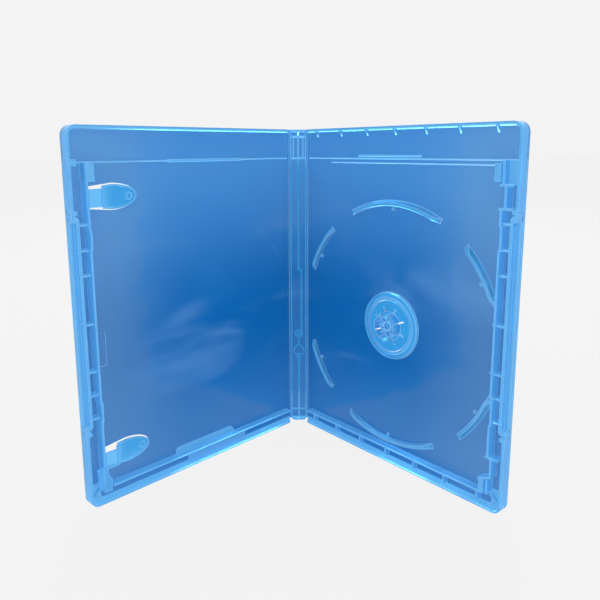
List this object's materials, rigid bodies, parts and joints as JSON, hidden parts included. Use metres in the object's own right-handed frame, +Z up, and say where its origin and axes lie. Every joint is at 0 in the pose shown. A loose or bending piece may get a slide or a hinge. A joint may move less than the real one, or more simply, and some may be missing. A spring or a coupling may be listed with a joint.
{
  "type": "blu-ray case",
  "caption": "Slim disc case of clear blue plastic that opens like a book: two covers hinged on a spine, a disc tray with a press hub, and booklet clips.",
  "frame": {"origin": "centre of the bottom end of the spine, on the surface that the case stands on", "axes": "+Z up along the spine, +Y out of the spine's back, -Y into the open case, +X towards the rear cover with the disc tray"},
  "size_m": [0.1915, 0.106, 0.1715],
  "materials": {
    "clear_blue": "clear tinted polypropylene, moulded glossy"
  },
  "bodies": {
    "spine": {"spine": "clear_blue"},
    "front_cover": {"front_cover": "clear_blue"},
    "rear_cover": {"rear_cover": "clear_blue"},
    "hub_button": {"hub_button": "clear_blue"}
  },
  "joints": [
    {"name": "front_hinge", "type": "hinge", "parent": "spine", "child": "front_cover", "pos_m": [-0.0056, 0.00155, 0], "axis": [0, 0, 1], "range_deg": [-46.1, 43.9]},
    {"name": "rear_hinge", "type": "hinge", "parent": "spine", "child": "rear_cover", "pos_m": [0.0056, 0.00155, 0], "axis": [0, 0, 1], "range_deg": [-40.6, 49.4]},
    {"name": "hub_press", "type": "slide", "parent": "rear_cover", "child": "hub_button", "axis": [0.7593, 0.6508, 0], "range_m": [0, 0.0012], "stiffness_N_per_m": 4000}
  ]
}
